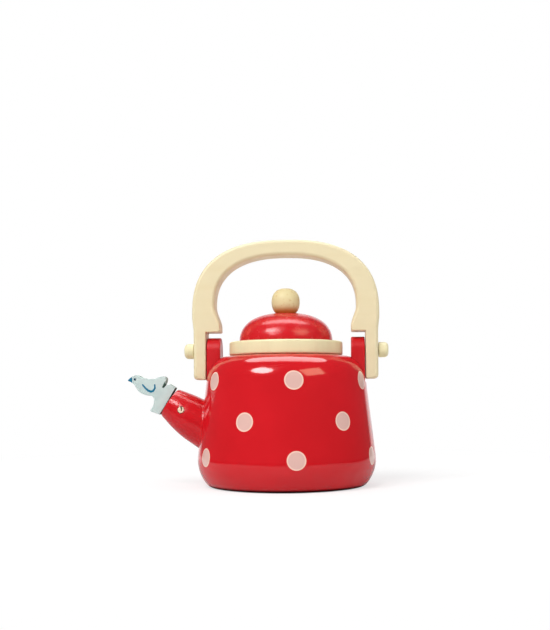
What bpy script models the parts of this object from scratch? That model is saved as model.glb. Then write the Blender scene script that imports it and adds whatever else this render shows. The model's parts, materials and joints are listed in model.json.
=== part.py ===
# Toy kettle of turned and cut-out wood. A hollow body carries a spout and two lugs. A bail handle
# swings on two pegs, a lid with a ball knob lifts off, and a cut-out bird rocks on a pin in the spout.
# Metres, +Z up, origin at the middle of the flat base, spout towards -X.

import math

import bmesh
import bpy
from mathutils import Vector

# Fits
GLUE_GAP = 0.0003
RUNNING_GAP = 0.0005

# Body: flat foot, round belly edge, straight taper, round shoulder, flat land and straight bore
BODY_HEIGHT = 0.0886
BELLY_RADIUS = 0.0608
BELLY_HEIGHT = 0.0180
FOOT_ROUND = 0.0098
BODY_TAPER = 0.0063
SHOULDER_RISE = 0.0181
SHOULDER_WIDTH = 0.0155
LAND_WIDTH = 0.0050
FLOOR_THICKNESS = 0.0120

# Lugs let into the shoulder, with the handle's pivot above the land
PIVOT_RISE = 0.0037
LUG_SETBACK = 0.0008
LUG_THICKNESS = 0.0093
LUG_EDGE = 0.0008
BOARD_DEPTH = 0.0180
LUG_DOWEL_DIAMETER = 0.0060
LUG_DOWEL_REACH = 0.0100

# Bail handle: stepped lower arms outside the lugs, under a rounded arch
HANDLE_RISE = 0.0749
HANDLE_EDGE = 0.0025
BAR_THICKNESS = 0.0106
ARM_THICKNESS = 0.0085
ARM_DROP = 0.0197
ARCH_BOW = 0.0009
ARCH_WIDTH = 0.0155
OUTER_SPRING = 0.0237
OUTER_SQUARENESS = 2.55
INNER_SPRING = 0.0302
INNER_SQUARENESS = 2.44
STEP_GAP = 0.0036
STEP_SETBACK = 0.0002
STEP_HEIGHT = 0.0042

# Pivot pegs
PEG_DIAMETER = 0.0060
PEG_HEAD_DIAMETER = 0.0104
PEG_HEAD_LENGTH = 0.0066
PEG_HEAD_ROUND = 0.0028
PEG_END_WALL = 0.0020

# Lid: plug in the bore, rim on the land, dome and ball knob, all on one stem
PLUG_DEPTH = 0.0080
RIM_SETBACK = 0.0003
RIM_THICKNESS = 0.0092
RIM_EDGE = 0.0013
DOME_SETBACK = 0.0068
DOME_RISE = 0.0191
DOME_SQUARENESS = 2.35
KNOB_RADIUS = 0.0100
KNOB_SEAT_RADIUS = 0.0064
KNOB_CROWN_RADIUS = 0.0035
SEAT_MARGIN = 0.0008
STEM_DIAMETER = 0.0060
STEM_IN_KNOB = 0.0090

# Spout, coped to the body and dowelled into it
SPOUT_ROOT_HEIGHT = 0.0421
SPOUT_ANGLE = math.radians(34.4)
SPOUT_LENGTH = 0.0273
SPOUT_TIP_RADIUS = 0.0107
SPOUT_BELLY_RADIUS = 0.0150
SPOUT_SWELL = 0.0250
SPOUT_EDGE = 0.0008
SPOUT_DOWEL_DIAMETER = 0.0080
SPOUT_DOWEL_IN_BODY = 0.0120
SPOUT_DOWEL_WALL = 0.0030

# Bird whistle, hung on a cross pin in a mortise in the spout's tip
BIRD_GRID = 0.0010
BIRD_THICKNESS = 0.0080
BIRD_EDGE = 0.0007
BIRD_BASE_GAP = 0.0005
BIRD_DROOP_GAP = 0.0012
MORTISE_DEPTH = 0.0170
MORTISE_WALL = 0.0020
ROCK_GAP = 0.0015
PIN_DIAMETER = 0.0044
PIN_SETBACK = 0.0109
PIN_RISE = 0.0012
PIN_PROUD = 0.0004
PIN_HOLE_OVERRUN = 0.0020

# Facets
BODY_STEPS = 64
LID_STEPS = 48
SPOUT_STEPS = 40
KNOB_STEPS = 36
ROD_SIDES = 24
MERGE_DISTANCE = 0.00001

# Places worked out from the sizes above
SHOULDER_RADIUS = BELLY_RADIUS - BODY_TAPER
SHOULDER_HEIGHT = BODY_HEIGHT - SHOULDER_RISE
LAND_RADIUS = SHOULDER_RADIUS - SHOULDER_WIDTH
MOUTH_RADIUS = LAND_RADIUS - LAND_WIDTH
PIVOT_HEIGHT = BODY_HEIGHT + PIVOT_RISE
LUG_OUTER = SHOULDER_RADIUS - LUG_SETBACK
LUG_INNER = LUG_OUTER - LUG_THICKNESS
ARM_INNER = LUG_OUTER + RUNNING_GAP
ARM_OUTER = ARM_INNER + ARM_THICKNESS
RIM_RADIUS = LAND_RADIUS - RIM_SETBACK
RIM_BOTTOM = BODY_HEIGHT + GLUE_GAP
DOME_BOTTOM = RIM_BOTTOM + RIM_THICKNESS + GLUE_GAP
DOME_RADIUS = RIM_RADIUS - DOME_SETBACK
DOME_SEAT_RADIUS = KNOB_SEAT_RADIUS + SEAT_MARGIN
DOME_SEAT_SHARE = (DOME_SEAT_RADIUS / DOME_RADIUS) ** DOME_SQUARENESS
DOME_HEIGHT = DOME_RISE * (1 - DOME_SEAT_SHARE) ** (1 / DOME_SQUARENESS)
KNOB_BOTTOM = DOME_BOTTOM + DOME_HEIGHT + GLUE_GAP
KNOB_MIDDLE = KNOB_BOTTOM + math.sqrt(KNOB_RADIUS ** 2 - KNOB_SEAT_RADIUS ** 2)
PLUG_BOTTOM = BODY_HEIGHT - PLUG_DEPTH


def flank_radius(height):
    share = (height - BELLY_HEIGHT) / (SHOULDER_HEIGHT - BELLY_HEIGHT)
    return BELLY_RADIUS - BODY_TAPER * share


def spout_radius(from_tip):
    swell = min(from_tip / SPOUT_SWELL, 1.0)
    return SPOUT_TIP_RADIUS + (SPOUT_BELLY_RADIUS - SPOUT_TIP_RADIUS) * math.sin(swell * math.pi / 2)


SPOUT_OUT = Vector((-math.cos(SPOUT_ANGLE), 0.0, math.sin(SPOUT_ANGLE)))
SPOUT_ROOT = Vector((-flank_radius(SPOUT_ROOT_HEIGHT), 0.0, SPOUT_ROOT_HEIGHT))
SPOUT_TIP = SPOUT_ROOT + SPOUT_OUT * SPOUT_LENGTH


# Scene and materials

def clear_scene():
    for obj in list(bpy.data.objects):
        bpy.data.objects.remove(obj, do_unlink=True)
    for collection in list(bpy.data.collections):
        bpy.data.collections.remove(collection)


def new_collection(name):
    collection = bpy.data.collections.new(name)
    bpy.context.scene.collection.children.link(collection)
    return collection


def linear(channel):
    share = channel / 255
    if share <= 0.04045:
        return share / 12.92
    return ((share + 0.055) / 1.055) ** 2.4


def finish(name, colour, roughness):
    material = bpy.data.materials.new(name)
    material.use_nodes = True
    shader = material.node_tree.nodes["Principled BSDF"]
    shader.inputs["Base Color"].default_value = [linear(channel) for channel in colour] + [1.0]
    shader.inputs["Roughness"].default_value = roughness
    shader.inputs["Metallic"].default_value = 0.0
    return material


# Shapes

def keep(obj, material, parent=None):
    PARTS.objects.link(obj)
    obj.data.materials.append(material)
    obj.parent = parent
    return obj


def as_cutter(obj, parent=None):
    CUTTERS.objects.link(obj)
    obj.parent = parent
    obj.hide_render = True
    obj.display_type = "WIRE"
    return obj


def cut(obj, *cutters):
    for cutter in cutters:
        boolean = obj.modifiers.new(cutter.name, "BOOLEAN")
        boolean.operation = "DIFFERENCE"
        boolean.solver = "EXACT"
        boolean.object = cutter


def empty(name, location, rotation=(0.0, 0.0, 0.0), parent=None):
    obj = bpy.data.objects.new(name, None)
    PARTS.objects.link(obj)
    obj.location = location
    obj.rotation_euler = rotation
    obj.parent = parent
    return obj


def arc(middle, radii, start, end, steps):
    # Points of an elliptic arc between two angles, in degrees, both ends included.
    points = []
    for step in range(steps + 1):
        angle = math.radians(start + (end - start) * step / steps)
        points.append((middle[0] + radii[0] * math.cos(angle), middle[1] + radii[1] * math.sin(angle)))
    return points


def superellipse(radii, squareness, start, end, steps):
    # Points of a quarter superellipse, whose side is at 0 degrees and crown at 90, both ends included.
    points = []
    for step in range(steps + 1):
        angle = math.radians(start + (end - start) * step / steps)
        across = radii[0] * math.cos(angle) ** (2 / squareness)
        points.append((across, radii[1] * math.sin(angle) ** (2 / squareness)))
    return points


def turned(name, profile, steps, closed=False):
    # Profile points are radius and height, down the outer side.
    mesh = bpy.data.meshes.new(name)
    edges = [(index, index + 1) for index in range(len(profile) - 1)]
    if closed:
        edges.append((len(profile) - 1, 0))
    mesh.from_pydata([(radius, 0.0, height) for radius, height in profile], edges, [])
    obj = bpy.data.objects.new(name, mesh)
    screw = obj.modifiers.new("Turn", "SCREW")
    screw.steps = steps
    screw.render_steps = steps
    screw.use_merge_vertices = True
    screw.merge_threshold = MERGE_DISTANCE
    screw.use_smooth_shade = True
    return obj


def rod(name, radius, start, end):
    # Round rod between two points.
    start = Vector(start)
    axis = Vector(end) - start
    shape = bmesh.new()
    bmesh.ops.create_cone(shape, cap_ends=True, segments=ROD_SIDES, radius1=radius, radius2=radius,
                          depth=axis.length)
    mesh = bpy.data.meshes.new(name)
    shape.to_mesh(mesh)
    shape.free()
    mesh.shade_smooth()
    mesh.set_sharp_from_angle(angle=math.radians(40))
    obj = bpy.data.objects.new(name, mesh)
    obj.location = start + axis / 2
    obj.rotation_euler = axis.to_track_quat("Z", "Y").to_euler()
    return obj


def block(name, low, high):
    # Box between two corners.
    low = Vector(low)
    size = Vector(high) - low
    shape = bmesh.new()
    bmesh.ops.create_cube(shape, size=1.0)
    bmesh.ops.scale(shape, vec=size, verts=shape.verts)
    bmesh.ops.translate(shape, vec=low + size / 2, verts=shape.verts)
    mesh = bpy.data.meshes.new(name)
    shape.to_mesh(mesh)
    shape.free()
    return bpy.data.objects.new(name, mesh)


def board(name, outline, thickness, edge, curve_steps=1):
    # Outline cut from a board, its edges rounded. A point with a third entry lies on a smooth curve.
    curve = bpy.data.curves.new(name, "CURVE")
    curve.dimensions = "2D"
    curve.fill_mode = "BOTH"
    curve.extrude = thickness / 2 - edge
    curve.bevel_depth = edge
    curve.bevel_resolution = 1
    curve.offset = -edge
    curve.resolution_u = curve_steps
    spline = curve.splines.new("BEZIER")
    spline.bezier_points.add(len(outline) - 1)
    spline.use_cyclic_u = True
    for knot, point in zip(spline.bezier_points, outline):
        knot.co = (point[0], point[1], 0.0)
        kind = "AUTO" if len(point) > 2 else "VECTOR"
        knot.handle_left_type = kind
        knot.handle_right_type = kind
    source = bpy.data.objects.new(name + "_outline", curve)
    CUTTERS.objects.link(source)
    mesh = bpy.data.meshes.new_from_object(source.evaluated_get(bpy.context.evaluated_depsgraph_get()))
    bpy.data.objects.remove(source)
    shape = bmesh.new()
    shape.from_mesh(mesh)
    bmesh.ops.remove_doubles(shape, verts=shape.verts, dist=MERGE_DISTANCE)
    bmesh.ops.recalc_face_normals(shape, faces=shape.faces)
    shape.to_mesh(mesh)
    shape.free()
    mesh.shade_smooth()
    mesh.set_sharp_from_angle(angle=math.radians(40))
    mesh.materials.clear()
    return bpy.data.objects.new(name, mesh)


# Body

def flank_lean(width, height):
    # Angle, in degrees, at which an ellipse of that width and height leans as the flank does.
    slope = BODY_TAPER / (SHOULDER_HEIGHT - BELLY_HEIGHT)
    return math.degrees(math.atan(slope * height / width))


def body_outside(grow):
    # Outer profile from the land's edge to the foot's edge, moved outwards by the given gap.
    shoulder_lean = flank_lean(SHOULDER_WIDTH, SHOULDER_RISE)
    shoulder_radii = (SHOULDER_WIDTH + grow, SHOULDER_RISE + grow)
    shoulder = arc((LAND_RADIUS, SHOULDER_HEIGHT), shoulder_radii, 90, shoulder_lean, 8)
    foot_lean = flank_lean(FOOT_ROUND, BELLY_HEIGHT)
    foot_radii = (FOOT_ROUND + grow, BELLY_HEIGHT + grow)
    foot = arc((BELLY_RADIUS - FOOT_ROUND, BELLY_HEIGHT), foot_radii, foot_lean, -90, 8)
    return shoulder + foot


def make_body(material):
    bore = [(0.0, FLOOR_THICKNESS), (MOUTH_RADIUS, FLOOR_THICKNESS), (MOUTH_RADIUS, BODY_HEIGHT)]
    profile = bore + body_outside(0.0) + [(0.0, 0.0)]
    return keep(turned("kettle_body", profile, BODY_STEPS), material)


# Lugs with their dowels and pegs

def lug_outline():
    half = BOARD_DEPTH / 2
    foot = SHOULDER_HEIGHT + GLUE_GAP - PIVOT_HEIGHT
    return [(-half, foot), (half, foot)] + arc((0.0, 0.0), (half, half), 0, 180, 14)


def make_lug(side_name, side, body, lug_material, dowel_material):
    middle = side * (LUG_OUTER + LUG_INNER) / 2
    lug = keep(board(side_name + "_lug", lug_outline(), LUG_THICKNESS, LUG_EDGE), lug_material)
    lug.location = (middle, 0.0, PIVOT_HEIGHT)
    lug.rotation_euler = (math.pi / 2, 0.0, math.pi / 2)

    half = BOARD_DEPTH / 2 + GLUE_GAP
    inner = side * (LUG_INNER - GLUE_GAP)
    outer = side * BELLY_RADIUS
    notch_low = (min(inner, outer), -half, SHOULDER_HEIGHT)
    notch_high = (max(inner, outer), half, PIVOT_HEIGHT)
    cut(body, as_cutter(block(side_name + "_lug_notch", notch_low, notch_high)))

    radius = LUG_DOWEL_DIAMETER / 2
    seam = SHOULDER_HEIGHT + GLUE_GAP / 2
    for place, across in (("front", -BOARD_DEPTH / 4), ("back", BOARD_DEPTH / 4)):
        name = side_name + "_lug_dowel_" + place
        low = Vector((middle, across, seam - LUG_DOWEL_REACH))
        high = Vector((middle, across, seam + LUG_DOWEL_REACH))
        play = Vector((0.0, 0.0, GLUE_GAP))
        keep(rod(name, radius, low, high), dowel_material)
        hole = as_cutter(rod(name + "_hole", radius + GLUE_GAP, low - play, high + play))
        cut(body, hole)
        cut(lug, hole)
    return lug


def peg_profile():
    # Heights run outwards from the lug's outer face.
    shank = PEG_DIAMETER / 2
    head = PEG_HEAD_DIAMETER / 2
    foot = PEG_END_WALL - LUG_THICKNESS
    face = ARM_OUTER + RUNNING_GAP - LUG_OUTER
    end = face + PEG_HEAD_LENGTH
    crown = arc((head - PEG_HEAD_ROUND, end - PEG_HEAD_ROUND), (PEG_HEAD_ROUND, PEG_HEAD_ROUND), 90, 0, 4)
    return [(0.0, end)] + crown + [(head, face), (shank, face), (shank, foot), (0.0, foot)]


def make_peg(side_name, side, lug, material):
    peg = keep(turned(side_name + "_pivot_peg", peg_profile(), ROD_SIDES), material)
    peg.location = (side * LUG_OUTER, 0.0, PIVOT_HEIGHT)
    peg.rotation_euler = (0.0, side * math.pi / 2, 0.0)
    hole_end = (side * (LUG_INNER + PEG_END_WALL - GLUE_GAP), 0.0, PIVOT_HEIGHT)
    hole_start = (side * ARM_OUTER, 0.0, PIVOT_HEIGHT)
    hole_radius = PEG_DIAMETER / 2 + GLUE_GAP
    cut(lug, as_cutter(rod(side_name + "_peg_hole", hole_radius, hole_start, hole_end)))


# Handle

def arch_side(half_width, spring, crown, squareness, steps):
    # Right half of the arch, from its spring up to its crown. Heights are above the pivot.
    curve = superellipse((half_width, crown - spring), squareness, 0, 90, steps)
    return [(across, spring + rise) for across, rise in curve]


def sweep_in(start, end, steps):
    # Smooth S from one point to another, upright at both ends, the last point left out.
    points = []
    for step in range(steps):
        share = step / steps
        ease = share * share * (3 - 2 * share)
        points.append((start[0] + (end[0] - start[0]) * ease, start[1] + (end[1] - start[1]) * share))
    return points


def handle_half():
    # Right half of the outline, from the outer crown down the outside and back up the inside.
    half = BOARD_DEPTH / 2
    outer = ARM_OUTER + ARCH_BOW
    inner = outer - ARCH_WIDTH
    step_inner = LUG_INNER + STEP_SETBACK
    step = half + STEP_GAP
    outside = sweep_in((ARM_OUTER, step), (outer, OUTER_SPRING), 5)
    outside += arch_side(outer, OUTER_SPRING, HANDLE_RISE, OUTER_SQUARENESS, 18)
    inside = sweep_in((step_inner, step + STEP_HEIGHT), (inner, INNER_SPRING), 6)
    inside += arch_side(inner, INNER_SPRING, HANDLE_RISE - BAR_THICKNESS, INNER_SQUARENESS, 16)
    lower = [(ARM_OUTER, -ARM_DROP), (ARM_INNER, -ARM_DROP), (ARM_INNER, step), (step_inner, step)]
    return outside[::-1] + lower + inside


def make_handle(material):
    pivot = empty("handle_pivot", (0.0, 0.0, PIVOT_HEIGHT))
    right = handle_half()
    left = [(-across, rise) for across, rise in right[1:-1][::-1]]
    handle = keep(board("bail_handle", right + left, BOARD_DEPTH, HANDLE_EDGE), material, pivot)
    handle.rotation_euler = (math.pi / 2, 0.0, 0.0)
    hole_radius = PEG_DIAMETER / 2 + RUNNING_GAP
    reach = ARM_OUTER + ARCH_BOW
    for side_name, side in (("left", -1), ("right", 1)):
        start = (side * LUG_OUTER, 0.0, 0.0)
        end = (side * reach, 0.0, 0.0)
        hole = rod(side_name + "_arm_hole", hole_radius, start, end)
        cut(handle, as_cutter(hole, pivot))


# Lid

def ring(name, outside, hole_radius):
    # Turned piece with a straight hole through it.
    top = outside[0][1]
    bottom = outside[-1][1]
    return turned(name, [(hole_radius, top)] + outside + [(hole_radius, bottom)], LID_STEPS, closed=True)


def make_lid(rim_material, dome_material, wood_material):
    lift = empty("lid_lift", (0.0, 0.0, 0.0))
    hole = STEM_DIAMETER / 2 + GLUE_GAP

    plug_radius = MOUTH_RADIUS - RUNNING_GAP
    plug = [(plug_radius, BODY_HEIGHT), (plug_radius, PLUG_BOTTOM + RIM_EDGE)]
    plug.append((plug_radius - RIM_EDGE, PLUG_BOTTOM))
    keep(ring("lid_plug", plug, hole), wood_material, lift)

    rim_top = RIM_BOTTOM + RIM_THICKNESS
    rim = arc((RIM_RADIUS - RIM_EDGE, rim_top - RIM_EDGE), (RIM_EDGE, RIM_EDGE), 90, 0, 3)
    rim += arc((RIM_RADIUS - RIM_EDGE, RIM_BOTTOM + RIM_EDGE), (RIM_EDGE, RIM_EDGE), 0, -90, 3)
    keep(ring("lid_rim", rim, hole), rim_material, lift)

    seat_angle = math.degrees(math.acos(math.sqrt(DOME_SEAT_SHARE)))
    curve = superellipse((DOME_RADIUS, DOME_RISE), DOME_SQUARENESS, seat_angle, 0, 9)
    dome = [(radius, DOME_BOTTOM + rise) for radius, rise in curve]
    keep(ring("lid_dome", dome, hole), dome_material, lift)

    stem_top = KNOB_BOTTOM + STEM_IN_KNOB
    crown_angle = math.degrees(math.acos(KNOB_CROWN_RADIUS / KNOB_RADIUS))
    seat_angle = -math.degrees(math.acos(KNOB_SEAT_RADIUS / KNOB_RADIUS))
    ball = arc((0.0, KNOB_MIDDLE), (KNOB_RADIUS, KNOB_RADIUS), crown_angle, seat_angle, 12)
    socket = [(hole, KNOB_BOTTOM), (hole, stem_top + GLUE_GAP), (0.0, stem_top + GLUE_GAP)]
    knob_profile = [(0.0, ball[0][1])] + ball + socket
    keep(turned("lid_knob", knob_profile, KNOB_STEPS), rim_material, lift)

    stem = rod("lid_stem", STEM_DIAMETER / 2, (0.0, 0.0, PLUG_BOTTOM), (0.0, 0.0, stem_top))
    keep(stem, wood_material, lift)


# Spout and bird, in the spout's own frame: X up across the tip, Z out along the axis, origin at the tip

def make_spout(axis, body, spout_material, wood_material):
    edge = arc((SPOUT_TIP_RADIUS - SPOUT_EDGE, -SPOUT_EDGE), (SPOUT_EDGE, SPOUT_EDGE), 90, 20, 3)
    length = SPOUT_LENGTH + 2 * SPOUT_BELLY_RADIUS
    rings = 8
    swell = [(spout_radius(SPOUT_SWELL * step / rings), -SPOUT_SWELL * step / rings)
             for step in range(1, rings + 1)]
    profile = [(0.0, 0.0)] + edge + swell + [(SPOUT_BELLY_RADIUS, -length), (0.0, -length)]
    spout = keep(turned("spout", profile, SPOUT_STEPS), spout_material, axis)

    outside = body_outside(GLUE_GAP)
    cope_profile = [(0.0, outside[0][1])] + outside + [(0.0, outside[-1][1])]
    cope = as_cutter(turned("spout_cope", cope_profile, BODY_STEPS))

    radius = SPOUT_DOWEL_DIAMETER / 2
    outer_end = MORTISE_DEPTH + SPOUT_DOWEL_WALL
    inner_end = SPOUT_LENGTH + SPOUT_DOWEL_IN_BODY
    keep(rod("spout_dowel", radius, (0.0, 0.0, -inner_end), (0.0, 0.0, -outer_end)), wood_material, axis)
    hole = rod("spout_dowel_hole", radius + GLUE_GAP, (0.0, 0.0, -inner_end - GLUE_GAP),
               (0.0, 0.0, GLUE_GAP - outer_end))
    as_cutter(hole, axis)
    cut(body, hole)

    half_width = mortise_half_width()
    half_depth = BIRD_THICKNESS / 2 + RUNNING_GAP
    mortise = block("bird_mortise", (-half_width, -half_depth, -MORTISE_DEPTH),
                    (half_width, half_depth, SPOUT_EDGE))
    cut(spout, cope, hole, as_cutter(mortise, axis))
    return spout


def mortise_half_width():
    return math.sqrt((SPOUT_TIP_RADIUS - MORTISE_WALL) ** 2 - (BIRD_THICKNESS / 2 + RUNNING_GAP) ** 2)


def on_grid(squares_out, squares_up, *smooth):
    # Point of the bird's pattern, in squares of its grid out from the spout's tip and up from its axis.
    return (PIN_SETBACK + squares_out * BIRD_GRID, squares_up * BIRD_GRID, *smooth)


def bird_outline():
    # Distance out from the pin along the spout's axis, and height above the pin across the tip.
    low = -SPOUT_TIP_RADIUS
    high = SPOUT_TIP_RADIUS
    base = PIN_SETBACK + BIRD_BASE_GAP
    tongue = mortise_half_width() - ROCK_GAP
    tongue_end = PIN_SETBACK - MORTISE_DEPTH + ROCK_GAP
    droop = BIRD_DROOP_GAP / (high - low)
    smooth = True
    foot = [(base, low), on_grid(7.6, -12.5)]
    belly = [on_grid(8.5, -6.4, smooth), on_grid(11.6, -3.3, smooth), on_grid(16.0, -4.9, smooth),
             on_grid(21.1, -5.7, smooth), on_grid(27.2, -3.5, smooth)]
    beak = [on_grid(29.8, -3.3), on_grid(32.4, -4.0), on_grid(31.6, -0.9)]
    back = [on_grid(29.6, 2.5, smooth), on_grid(24.1, 3.8, smooth), on_grid(17.3, 7.9, smooth)]
    tail = [on_grid(14.3, 11.7, smooth), on_grid(11.5, 12.8, smooth), on_grid(9.9, 11.0, smooth),
            on_grid(9.0, 5.9), on_grid(6.9, 10.5)]
    shoulder = [(base + droop * (high - low), high), (base + droop * (tongue - low), tongue)]
    tongue_sides = [(tongue_end, tongue), (tongue_end, -tongue), (base + droop * (-tongue - low), -tongue)]
    outline = foot + belly + beak + back + tail + shoulder + tongue_sides
    return [(point[0], point[1] - PIN_RISE, *point[2:]) for point in outline]


def make_whistle(axis, spout, bird_material, wood_material):
    pivot = empty("whistle_pivot", (PIN_RISE, 0.0, -PIN_SETBACK), parent=axis)
    bird = keep(board("whistle_bird", bird_outline(), BIRD_THICKNESS, BIRD_EDGE, 4), bird_material, pivot)
    bird.rotation_euler = (-math.pi / 2, -math.pi / 2, 0.0)

    radius = PIN_DIAMETER / 2
    reach = Vector((0.0, spout_radius(PIN_SETBACK) + PIN_PROUD, 0.0))
    keep(rod("whistle_pin", radius, -reach, reach), wood_material, pivot)
    past = reach + Vector((0.0, PIN_HOLE_OVERRUN, 0.0))
    cut(spout, as_cutter(rod("pin_hole", radius + GLUE_GAP, -past, past), pivot))
    cut(bird, as_cutter(rod("bird_pin_hole", radius + RUNNING_GAP, -reach, reach), pivot))


def main():
    red = finish("red_lacquer", (206, 33, 40), 0.18)
    cream = finish("cream_paint", (240, 222, 184), 0.38)
    blue = finish("pale_blue_paint", (196, 214, 212), 0.45)
    wood = finish("bare_beech", (226, 198, 158), 0.62)

    body = make_body(red)
    for side_name, side in (("left", -1), ("right", 1)):
        lug = make_lug(side_name, side, body, red, wood)
        make_peg(side_name, side, lug, cream)
    make_handle(cream)
    make_lid(cream, red, wood)
    axis = empty("spout_axis", SPOUT_TIP, (0.0, SPOUT_ANGLE - math.pi / 2, 0.0))
    spout = make_spout(axis, body, red, wood)
    make_whistle(axis, spout, blue, wood)


clear_scene()
PARTS = new_collection("toy_kettle")
CUTTERS = new_collection("toy_kettle_cutters")
main()
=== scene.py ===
# Toy kettle of painted wood: looks, light and camera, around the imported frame. Metres, +Z up.
import json
import math

import bmesh
import bpy
import numpy as np
from mathutils import Matrix, Vector


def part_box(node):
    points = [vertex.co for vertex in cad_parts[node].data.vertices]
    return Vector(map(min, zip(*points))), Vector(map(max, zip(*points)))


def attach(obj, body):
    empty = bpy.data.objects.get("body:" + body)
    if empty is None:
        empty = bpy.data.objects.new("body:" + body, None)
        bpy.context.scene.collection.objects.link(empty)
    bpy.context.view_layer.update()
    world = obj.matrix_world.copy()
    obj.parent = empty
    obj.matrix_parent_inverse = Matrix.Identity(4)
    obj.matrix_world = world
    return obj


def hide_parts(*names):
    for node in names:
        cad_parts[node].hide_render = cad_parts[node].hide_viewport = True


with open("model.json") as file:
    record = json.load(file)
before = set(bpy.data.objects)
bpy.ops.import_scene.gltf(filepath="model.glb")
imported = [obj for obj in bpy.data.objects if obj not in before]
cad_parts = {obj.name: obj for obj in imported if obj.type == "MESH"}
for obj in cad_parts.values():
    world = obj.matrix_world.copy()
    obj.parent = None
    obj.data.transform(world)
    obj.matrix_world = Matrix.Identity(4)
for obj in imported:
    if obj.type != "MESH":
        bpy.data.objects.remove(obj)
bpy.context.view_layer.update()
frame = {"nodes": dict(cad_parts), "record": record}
scene = bpy.context.scene
scene.view_settings.view_transform = "Standard"
print("frame loaded:", len(frame["nodes"]), "nodes")

mergeDistance = 1e-6
sharpAngle = math.radians(34)
lugDowels = tuple(f"{side}_lug_dowel_{end}" for side in ("left", "right") for end in ("front", "back"))


# Grids and meshes

def gridFaces(rows, columns, ringRows):
    # quad (i, j) joins rows i, i + 1 and columns j, j + 1; columns close into a ring, rows only if asked
    index = np.arange(rows * columns).reshape(rows, columns)
    index = np.hstack([index, index[:, :1]])
    if ringRows:
        index = np.vstack([index, index[:1]])
    quads = np.stack([index[:-1, :-1], index[:-1, 1:], index[1:, 1:], index[1:, :-1]], -1)
    return quads.reshape(-1, 4)


def newPiece(name, points, ringRows=False, endFaces=False):
    # points is a grid of places; poles are merged, flat ends filled, faces turned outwards
    rows, columns = points.shape[:2]
    faces = gridFaces(rows, columns, ringRows).tolist()
    if endFaces:
        faces.append(list(range(columns)))
        faces.append(list(range((rows - 1) * columns, rows * columns)))
    mesh = bpy.data.meshes.new(name)
    mesh.from_pydata(points.reshape(-1, 3).tolist(), [], faces)
    shape = bmesh.new()
    shape.from_mesh(mesh)
    bmesh.ops.remove_doubles(shape, verts=shape.verts, dist=mergeDistance)
    bmesh.ops.recalc_face_normals(shape, faces=shape.faces)
    shape.to_mesh(mesh)
    shape.free()
    piece = bpy.data.objects.new(name, mesh)
    scene.collection.objects.link(piece)
    return piece


def carve(piece, *cutters):
    # takes the cutters' shapes out of the piece for good
    for cutter in cutters:
        cut = piece.modifiers.new(cutter.name, "BOOLEAN")
        cut.operation = "DIFFERENCE"
        cut.solver = "EXACT"
        cut.object = cutter
    carved = bpy.data.meshes.new_from_object(piece.evaluated_get(bpy.context.evaluated_depsgraph_get()))
    piece.modifiers.clear()
    piece.data = carved
    for cutter in cutters:
        bpy.data.objects.remove(cutter)


def settle(piece, material, body, slotName, *nodes, flatFaces=False):
    # finish, shading and the place of a piece in the frame
    piece.data.materials.clear()
    piece.data.materials.append(material)
    piece.data.shade_smooth()
    piece.data.set_sharp_from_angle(angle=sharpAngle)
    if flatFaces:
        even = piece.modifiers.new("Even faces", "WEIGHTED_NORMAL")
        even.keep_sharp = True
    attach(piece, body)
    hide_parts(*nodes)


def readPlaces(items, name):
    # a place of every vertex or face, one to a row
    values = np.empty(len(items) * 3)
    items.foreach_get(name, values)
    return values.reshape(-1, 3)


def nodeBox(node):
    low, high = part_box(node)
    return np.array(low), np.array(high)


# Curves and surfaces

def arc(middle, radii, start, end, steps):
    # middle + (rx cos a, rz sin a) for a from start to end, in degrees, both ends included
    angle = np.radians(np.linspace(start, end, steps + 1))
    return np.stack([middle[0] + radii[0] * np.cos(angle), middle[1] + radii[1] * np.sin(angle)], 1)


def superArc(radii, squareness, start, end, steps):
    # (rx cos a ^ (2 / n), rz sin a ^ (2 / n)) for a from start to end: a quarter superellipse
    angle = np.radians(np.linspace(start, end, steps + 1))
    power = 2 / squareness
    across = np.clip(np.cos(angle), 0, 1) ** power
    rise = np.clip(np.sin(angle), 0, 1) ** power
    return np.stack([radii[0] * across, radii[1] * rise], 1)


def smoothStep(low, high, value):
    # 3 s^2 - 2 s^3 for the share s of the way from low to high
    share = np.clip((value - low) / (high - low), 0, 1)
    return share * share * (3 - 2 * share)


def eased(start, end, steps):
    # S from start up to end, upright at both: across follows 3 s^2 - 2 s^3 as height follows s
    share = np.linspace(0, 1, steps + 1)[:-1]
    ease = smoothStep(0, 1, share)
    return np.stack([start[0] + (end[0] - start[0]) * ease, start[1] + (end[1] - start[1]) * share], 1)


def softCorner(before, corner, after, radius, steps=8):
    # arc of that radius that touches both sides of a corner: its normal swings from one side to the other
    before, corner, after = (np.array(point, float) for point in (before, corner, after))
    arriving = (corner - before) / np.linalg.norm(corner - before)
    leaving = (after - corner) / np.linalg.norm(after - corner)
    turn = math.acos(np.clip(arriving @ leaving, -1, 1))
    middle = corner + (leaving - arriving) / np.linalg.norm(leaving - arriving) * radius / math.cos(turn / 2)
    first = corner - arriving * radius * math.tan(turn / 2) - middle
    last = corner + leaving * radius * math.tan(turn / 2) - middle
    share = np.linspace(0, 1, steps + 1)[:, None]
    return middle + (np.sin((1 - share) * turn) * first + np.sin(share * turn) * last) / math.sin(turn)


def refined(outline, spacing):
    # closed outline with its long straight sides cut into even lengths
    ahead = np.roll(outline, -1, 0) - outline
    parts = np.maximum(1, np.ceil(np.linalg.norm(ahead, axis=1) / spacing)).astype(int)
    side = np.repeat(np.arange(len(outline)), parts)
    share = (np.arange(parts.sum()) - np.repeat(np.cumsum(parts) - parts, parts)) / parts[side]
    return outline[side] + ahead[side] * share[:, None]


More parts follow.
